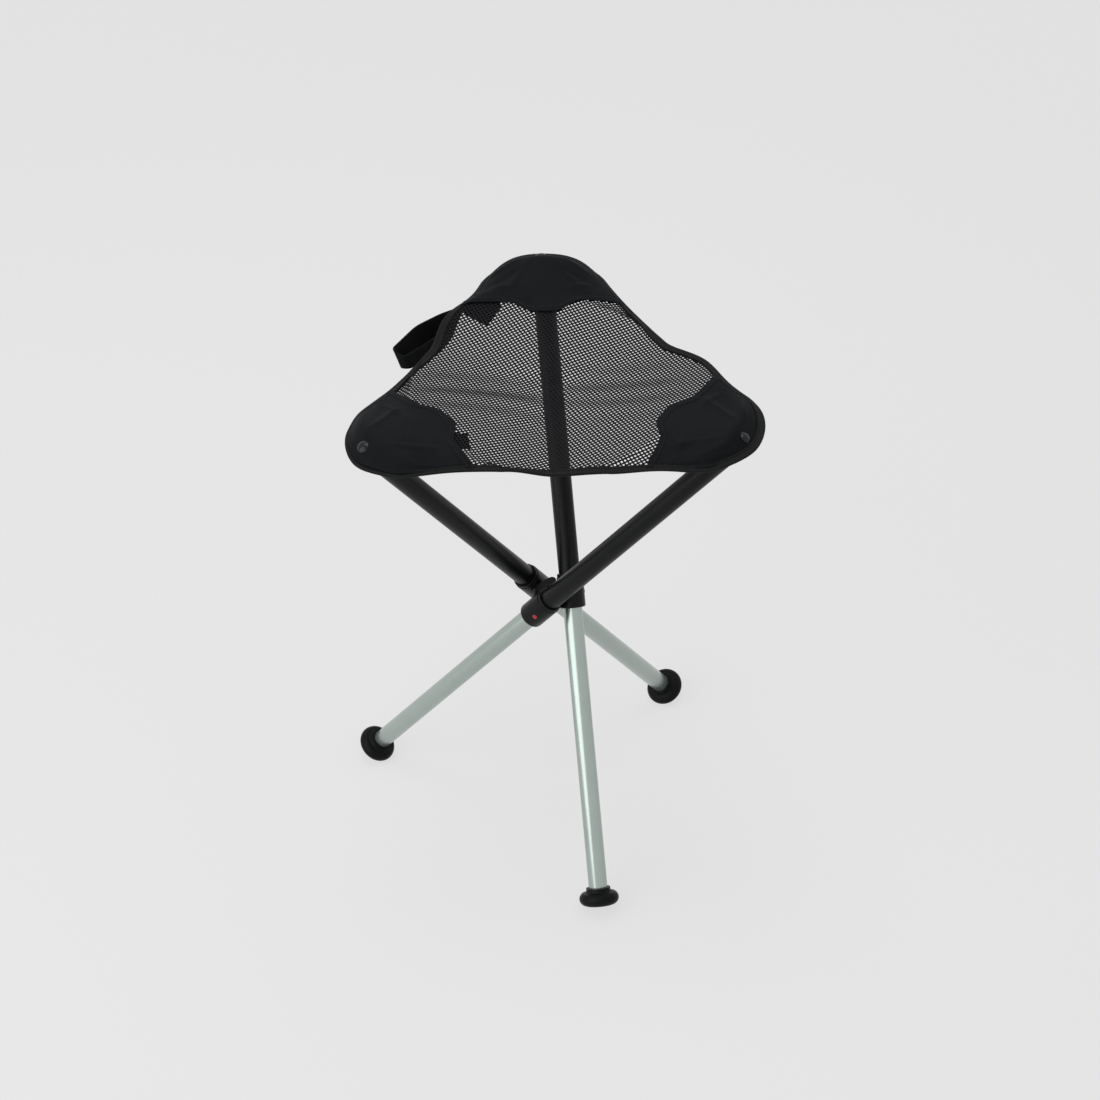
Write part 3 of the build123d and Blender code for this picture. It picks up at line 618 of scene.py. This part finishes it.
def stitch_tree(material):
    """Node group that sets a short thread on every point of a line and turns it along the line."""
    tree = bpy.data.node_groups.new("stitch_row", "GeometryNodeTree")
    tree.interface.new_socket("Geometry", in_out="INPUT", socket_type="NodeSocketGeometry")
    tree.interface.new_socket("Length", in_out="INPUT", socket_type="NodeSocketFloat")
    tree.interface.new_socket("Thread", in_out="INPUT", socket_type="NodeSocketFloat")
    tree.interface.new_socket("Geometry", in_out="OUTPUT", socket_type="NodeSocketGeometry")
    nodes, links = tree.nodes, tree.links
    start, end = nodes.new("NodeGroupInput"), nodes.new("NodeGroupOutput")
    curve = nodes.new("GeometryNodeMeshToCurve")
    tangent = nodes.new("GeometryNodeInputTangent")
    align = nodes.new("FunctionNodeAlignRotationToVector")
    align.axis = "X"
    bead = nodes.new("GeometryNodeMeshUVSphere")
    bead.inputs["Segments"].default_value = 8
    bead.inputs["Rings"].default_value = 5
    bead.inputs["Radius"].default_value = 0.5
    size = nodes.new("ShaderNodeCombineXYZ")
    spread = nodes.new("GeometryNodeInstanceOnPoints")
    real = nodes.new("GeometryNodeRealizeInstances")
    smooth = nodes.new("GeometryNodeSetShadeSmooth")
    paint = nodes.new("GeometryNodeSetMaterial")
    paint.inputs["Material"].default_value = material
    links.new(start.outputs["Geometry"], curve.inputs["Mesh"])
    links.new(tangent.outputs["Tangent"], align.inputs["Vector"])
    links.new(start.outputs["Length"], size.inputs["X"])
    links.new(start.outputs["Thread"], size.inputs["Y"])
    links.new(start.outputs["Thread"], size.inputs["Z"])
    links.new(curve.outputs["Curve"], spread.inputs["Points"])
    links.new(bead.outputs["Mesh"], spread.inputs["Instance"])
    links.new(align.outputs["Rotation"], spread.inputs["Rotation"])
    links.new(size.outputs["Vector"], spread.inputs["Scale"])
    links.new(spread.outputs["Instances"], real.inputs["Geometry"])
    links.new(real.outputs["Geometry"], smooth.inputs["Geometry"])
    links.new(smooth.outputs["Geometry"], paint.inputs["Geometry"])
    links.new(paint.outputs["Geometry"], end.inputs["Geometry"])
    return tree


def stitches(name, line, tree, pitch=0.0031, length=0.0024, thread=0.00055):
    """Row of stitches along a line of points in metres."""
    run = np.append(0, np.cumsum(np.linalg.norm(np.diff(line, axis=0), axis=1)))
    stops = np.arange(pitch / 2, run[-1], pitch)
    spots = np.stack([np.interp(stops, run, line[:, k]) for k in range(3)], axis=1)
    mesh = bpy.data.meshes.new(name)
    mesh.from_pydata(spots.tolist(), [(k, k + 1) for k in range(len(spots) - 1)], [])
    row = bpy.data.objects.new(name, mesh)
    bpy.context.scene.collection.objects.link(row)
    sew = row.modifiers.new("sew", "NODES")
    sew.node_group = tree
    sew[socket_name(tree, "Length")] = length
    sew[socket_name(tree, "Thread")] = thread
    return plain(row)


thread_black = surface("thread_black", (0.012, 0.012, 0.013), 0.5, 0.2, grain=3000.0)
sewing = stitch_tree(thread_black)
pocket_thick, pocket_up, hem_up, hem_wide, hem_row = 0.0012, 1.3, 0.7, 8.0, 6.0
tucked_up, thread_up = 0.2, 0.65
chance = np.random.default_rng(7)
pocket_pieces, pocket_rows, pocket_areas = {}, {}, {}
for panel in panels:
    turns = pocket_turns(panel, 60)
    inner, outer = pocket_edge(panel, turns), edge_distance(panel, turns) - pocket_inset
    shares = np.linspace(0, 1, 72)
    distance = inner[:, None] + (outer - inner)[:, None] * shares[None]
    turn = np.repeat(turns[:, None], len(shares), axis=1)
    x, y = distance * np.sin(turn), distance * np.cos(turn)
    shift = chance.uniform(-4, 4, 6)
    folds = wrinkle(x, y, (13, 193), (42 + shift[0], 142 + shift[1]), 1.5, 3.5)
    folds = folds + wrinkle(x, y, (15, 201), (60 + shift[2], 172 + shift[3]), 1.3, 3.2)
    folds = folds - wrinkle(x, y, (16, 180 + shift[4]), (60, 152 + shift[5]), 1.6, 5.0)
    folds = folds + wrinkle(x, y, (22, 150 + shift[1]), (56, 160 + shift[0]), 1.0, 3.2)
    hem = hem_up * ease((hem_wide - (distance - inner[:, None])) / 1.6)
    tucked = tucked_up + (pocket_up - tucked_up + folds) * ease((outer[:, None] - distance - 4) / 4)
    grid = seat_place(panel, distance, turn, tucked + hem)
    even = seat_place(panel, distance, turn)
    patches = np.cross(np.diff(even, axis=0)[:, 1:], np.diff(even, axis=1)[1:])
    pocket_areas[panel] = float(np.linalg.norm(patches, axis=-1).sum())
    uv = (np.append(turns, turns[-1]) * 0.17, shares * 0.09)
    pocket_pieces[panel] = slab(f"pocket_{panel}", grid, pocket_thick, pocket_cloth, uv)
    sewn = turns[:-3]
    hem_line = seat_place(panel, inner[:-3] + hem_row, sewn, pocket_up + hem_up + thread_up)
    pocket_rows[panel] = stitches(f"pocket_stitches_{panel}", hem_line, sewing)


for panel, pocket in pocket_pieces.items():
    if panels[panel] > 0:
        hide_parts(f"corner_pocket_{panel[0]}")
    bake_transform(pocket)
    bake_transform(pocket_rows[panel])

# Edge binding: black woven tape folded over the edge of net and pockets and sewn through with one row.
# It runs round the whole seat, in six lengths that meet at the tips and at the middle of each edge.
tape = woven("binding_tape", (0.0082, 0.0086, 0.0086), 0.55, 0.09, 0.0007, 0.0002)
tape_wide, tape_thick, tape_up, tape_steepest = 8.6, 3.4, 0.4, 0.004
fold_round, seam_in, seam_up, tape_around = 0.16, 0.0068, 0.0001, 0.023
for panel in panels:
    turns = np.linspace(0, math.radians(60), 130)
    rim = edge_distance(panel, turns)
    middle = seat_place(panel, rim, turns, tape_up)
    inside = seat_place(panel, rim - tape_wide, turns, tape_up)
    inside[:, 2] = np.minimum(inside[:, 2], middle[:, 2] + tape_steepest)
    way = inside - middle
    way = way / np.linalg.norm(way, axis=1, keepdims=True)
    tangent = np.gradient(middle, axis=0)
    tangent = tangent / np.linalg.norm(tangent, axis=1, keepdims=True)
    upward = np.cross(tangent, way)
    upward = upward * np.sign(upward[:, 2:3])
    half_turn = np.linspace(0, math.pi, 9)
    section = np.array([(fold_round - fold_round * math.sin(s), math.cos(s)) for s in half_turn])
    flat_run = np.linspace(0.3, 0.95, 8)
    flat_side = np.array([(x, -0.8 - 0.2 * math.cos((x - fold_round) * 7)) for x in flat_run])
    section = np.concatenate([section, flat_side, [(1.0, -0.75), (1.0, 0.75)], flat_side[::-1] * [1, -1]])
    rings = middle[:, None] + section[None, :, 0, None] * way[:, None] * tape_wide / 1000
    rings = rings + section[None, :, 1, None] * upward[:, None] * tape_thick / 2000
    run = np.append(0, np.cumsum(np.linalg.norm(np.diff(middle, axis=0), axis=1)))
    around = np.linspace(0, tape_around, len(section) + 1)
    binding = shell(f"binding_{panel}", rings, False, (run, around), 40.0, tape)
    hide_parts(f"edge_binding_{panel}")
    seam = middle + way * seam_in + upward * (tape_thick / 2000 + seam_up)
    row = stitches(f"binding_stitches_{panel}", seam, sewing)
    for made in (binding, row):
        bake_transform(made)

# Rivets: black domed caps pressed through the pockets into the plugs, glossy from the press.
# A narrow flange lies on the cloth round each dome.
cap_black = surface("rivet_black", (0.003, 0.003, 0.0035), 0.15, 0.30, grain=300.0, lift=0.00002)
flange_radius, flange_thick, dome_radius, dome_start, dome_height = 6.0, 0.5, 5.1, 0.75, 1.7
cap_line = [(0.0, 0.0), (flange_radius, 0.0), (flange_radius, flange_thick), (5.3, dome_start)]
cap_place = 0.3462
for k in range(1, 10):
    swing = math.radians(10 * k)
    cap_line.append((dome_radius * math.cos(swing), dome_start + dome_height * math.sin(swing)))
for key, (pivot, up, out) in legs.items():
    cap = turned(f"rivet_cap_{key}", cap_line, pivot + up * cap_place, up, out, cap_black, steps=48)
    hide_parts(f"seat_rivet_{key}")
    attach(cap, f"upper_leg_{key}")

# Carry strap: black nylon webbing bent into a loop beside the seat, with both runs on edge.
# Its ends are sewn under the seat's edge. A pointed tail of it lies under the net and shows through.
strap_web = woven("strap_webbing", (0.0072, 0.0078, 0.0075), 0.65, 0.03, 0.0011, 0.00025)
left = math.radians(150)
strap_thick, strap_wide, tail_thick, tail_wide, tail_under = 0.0020, 0.022, 0.0014, 0.03, 1.7
edge_out = np.array([math.cos(left), math.sin(left), 0])
edge_along = np.array([-math.sin(left), math.cos(left), 0])
strap_bends = [0, 12, 60, 50, 8, 6, 40, 40, 10, 0]
strap_upper = [(96, 134, -9.5), (90, 148, -18), (70, 160, -18), (40, 171.5, -18), (-7, 173.5, -18)]
strap_upper += [(-4, 161, -24), (24, 154.5, -26), (47, 150, -26), (70, 149, -25), (80, 142, -13)]
strap_lower = [(96, 134, -12.5), (89, 147, -26), (72, 154, -37), (44, 164, -44), (-4, 166.5, -39.5)]
strap_lower += [(0, 157, -39.5), (24, 152, -46), (47, 148, -46), (70, 147, -42), (80, 141, -16)]


def by_edge(line):
    """Rounded line beside the left edge: along it to the back, out from the seat's middle, and up."""
    path = corners_rounded(line, strap_bends, 12)
    place = path[:, 1, None] * edge_out - path[:, 0, None] * edge_along + axis_place
    place[:, 2] += path[:, 2]
    return place / 1000


strap_top, strap_low = by_edge(strap_upper), by_edge(strap_lower)
strap_grid = np.stack([strap_top + (strap_low - strap_top) * t for t in np.linspace(0, 1, 11)], axis=1)
run = np.append(0, np.cumsum(np.linalg.norm(np.diff(strap_top, axis=0), axis=1)))
strap_uv = (run, np.linspace(0, strap_wide, 11))
strap = slab("strap_loop_band", strap_grid, strap_thick, strap_web, strap_uv, 60.0)
tail_near, tail_far = np.array([(66, 131), (86, 144)]), np.array([(61, 102), (90, 101), (104, 114)])
across, inward = np.meshgrid(np.linspace(0, 1, 14), np.linspace(0, 1, 14), indexing="ij")
near = tail_near[0] + across[..., None] * (tail_near[1] - tail_near[0])
far = np.stack([np.interp(across, [0, 0.55, 1], tail_far[:, k]) for k in range(2)], axis=-1)
tail_plan = near + inward[..., None] * (far - near)
tail_grid = tail_plan[..., 1, None] * edge_out - tail_plan[..., 0, None] * edge_along + axis_place
for spot in tail_grid.reshape(-1, 3):
    panel, far_out, turn = panel_at(spot[0], spot[1] - axis_place[1])
    spot[2] = seat_rise(panel, min(far_out, edge_distance(panel, turn)), turn) + axis_place[2] - tail_under
marks = np.linspace(0, tail_wide, 15)
tail = slab("strap_tail", tail_grid / 1000, tail_thick, strap_web, (marks, marks[:14]))
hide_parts("carry_strap")
for made in (strap, tail):
    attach(made, "panel_ca")

# Cloth tab: a small piece of plain black tape with straight cut edges.
# It is sewn under the net beside the left pocket and lies flat against it.
tab_cloth = woven("tab_cloth", (0.0065, 0.0065, 0.0070), 0.7, 0.05, 0.0006, 0.0001)
corner, tab_turn = math.radians(corner_turn["a"]), math.radians(24)
tab_far, tab_off, tab_under, tab_thick = 122.4, 32.3, 1.4, 0.0008
ahead = np.array([math.cos(corner), math.sin(corner), 0])
aside = np.array([-math.sin(corner), math.cos(corner), 0])
tab_long, tab_wide = np.meshgrid(np.linspace(-12, 12, 14), np.linspace(-10, 10, 12), indexing="ij")
tab_ahead = tab_far + tab_long * math.sin(tab_turn) - tab_wide * math.cos(tab_turn)
tab_aside = tab_off + tab_long * math.cos(tab_turn) + tab_wide * math.sin(tab_turn)
tab_grid = axis_place + tab_ahead[..., None] * ahead + tab_aside[..., None] * aside
for spot in tab_grid.reshape(-1, 3):
    spot[2] = seat_rise(*panel_at(spot[0], spot[1] - axis_place[1])) + axis_place[2] - tab_under
tab_uv = (np.linspace(0, 0.024, 15), np.linspace(0, 0.02, 12))
tab = slab("net_tab", tab_grid / 1000, tab_thick, tab_cloth, tab_uv)
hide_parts("seat_tab")
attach(tab, "panel_ab")

# Studio: pale seamless floor that fades into the backdrop, a broad soft light overhead and one on the left.
# A smaller light over the seat puts a glint on the rivets. The camera looks down from the front.
paper = surface("studio_paper", (0.80, 0.80, 0.80), 0.9, 0.0, grain=40.0, lift=0.00001, vary=0.0)
backdrop_tone, backdrop_share, sky_tone = 0.825, 0.78, 0.42
fade_start, fade_end = 1.5, 6.0


def seen_directly(tree):
    """Value that is 1 where the backdrop is looked at or mirrored and 0 where it lights the object."""
    path = tree.nodes.new("ShaderNodeLightPath")
    either = tree.nodes.new("ShaderNodeMath")
    either.operation = "MAXIMUM"
    tree.links.new(path.outputs["Is Camera Ray"], either.inputs[0])
    tree.links.new(path.outputs["Is Glossy Ray"], either.inputs[1])
    every = tree.nodes.new("ShaderNodeMath")
    every.operation = "MAXIMUM"
    tree.links.new(either.outputs["Value"], every.inputs[0])
    tree.links.new(path.outputs["Is Transmission Ray"], every.inputs[1])
    return every.outputs["Value"]


bpy.ops.mesh.primitive_plane_add(size=60.0, location=(0, 0, -0.0005))
floor = bpy.context.object
floor.name = "studio_floor"
floor.data.materials.append(paper)
tree = paper.node_tree
glow = tree.nodes.new("ShaderNodeEmission")
glow.inputs["Color"].default_value = (backdrop_tone, backdrop_tone, backdrop_tone, 1)
part_seen = tree.nodes.new("ShaderNodeMath")
part_seen.operation = "MULTIPLY"
tree.links.new(seen_directly(tree), part_seen.inputs[0])
floor_place = tree.nodes.new("ShaderNodeTexCoord")
away = tree.nodes.new("ShaderNodeVectorMath")
away.operation = "LENGTH"
tree.links.new(floor_place.outputs["Object"], away.inputs[0])
fade = tree.nodes.new("ShaderNodeMapRange")
fade.inputs["From Min"].default_value = fade_start
fade.inputs["From Max"].default_value = fade_end
fade.inputs["To Min"].default_value = backdrop_share
tree.links.new(away.outputs["Value"], fade.inputs["Value"])
tree.links.new(fade.outputs["Result"], part_seen.inputs[1])
mix = tree.nodes.new("ShaderNodeMixShader")
tree.links.new(part_seen.outputs["Value"], mix.inputs["Fac"])
tree.links.new(tree.nodes["Principled BSDF"].outputs["BSDF"], mix.inputs[1])
tree.links.new(glow.outputs["Emission"], mix.inputs[2])
tree.links.new(mix.outputs["Shader"], tree.nodes["Material Output"].inputs["Surface"])

world = bpy.data.worlds.new("studio")
bpy.context.scene.world = world
world.use_nodes = True
tree = world.node_tree
sky = tree.nodes["Background"]
sky.inputs["Color"].default_value = (1, 1, 1, 1)
strength = tree.nodes.new("ShaderNodeMapRange")
strength.inputs["To Min"].default_value = sky_tone
strength.inputs["To Max"].default_value = backdrop_tone
tree.links.new(seen_directly(tree), strength.inputs["Value"])
tree.links.new(strength.outputs["Result"], sky.inputs["Strength"])


def lamp(name, power, size, at, target):
    """Square soft light that faces a point."""
    data = bpy.data.lights.new(name, "AREA")
    data.energy, data.size = power, size
    made = bpy.data.objects.new(name, data)
    bpy.context.scene.collection.objects.link(made)
    made.location = at
    made.rotation_euler = (Vector(target) - Vector(at)).to_track_quat("-Z", "Y").to_euler()


lamp("top_light", 10.0, 2.4, (-0.2, 0.4, 2.6), (0, 0, 0.3))
lamp("high_light", 8.0, 0.8, (-0.1, 0.3, 2.5), (0, 0, 0.5))
lamp("left_light", 34.0, 2.6, (-1.80, -1.25, 1.3), (0, 0, 0.3))

camera_turn, camera_rise, camera_far, lens_pixels = -2.718, 40.938, 2.900, 2817.463
camera_roll, camera_pan, camera_tilt = -0.387, 0.032, -0.898
frame_pixels, sensor_wide = 1100, 36.0
hub = Vector((0, -0.008939, 0.271524))
az, el = math.radians(camera_turn), math.radians(camera_rise)
back = Vector((math.sin(az) * math.cos(el), -math.cos(az) * math.cos(el), math.sin(el)))
right = (-back).cross(Vector((0, 0, 1))).normalized()
aim = Matrix((right, right.cross(-back), back))
pan = Matrix.Rotation(math.radians(camera_pan), 3, "Y")
tilt = Matrix.Rotation(math.radians(camera_tilt), 3, "X")
roll = Matrix.Rotation(math.radians(camera_roll), 3, "Z")
lens = bpy.data.cameras.new("camera")
lens.sensor_width = sensor_wide
lens.lens = lens_pixels / frame_pixels * sensor_wide
lens.clip_end = 50.0
camera = bpy.data.objects.new("camera", lens)
bpy.context.scene.collection.objects.link(camera)
view_turn = (roll @ tilt @ pan @ aim).transposed().to_4x4()
camera.matrix_world = Matrix.Translation(hub + back * camera_far) @ view_turn
bpy.context.scene.camera = camera
bpy.context.scene.view_settings.view_transform = "Standard"
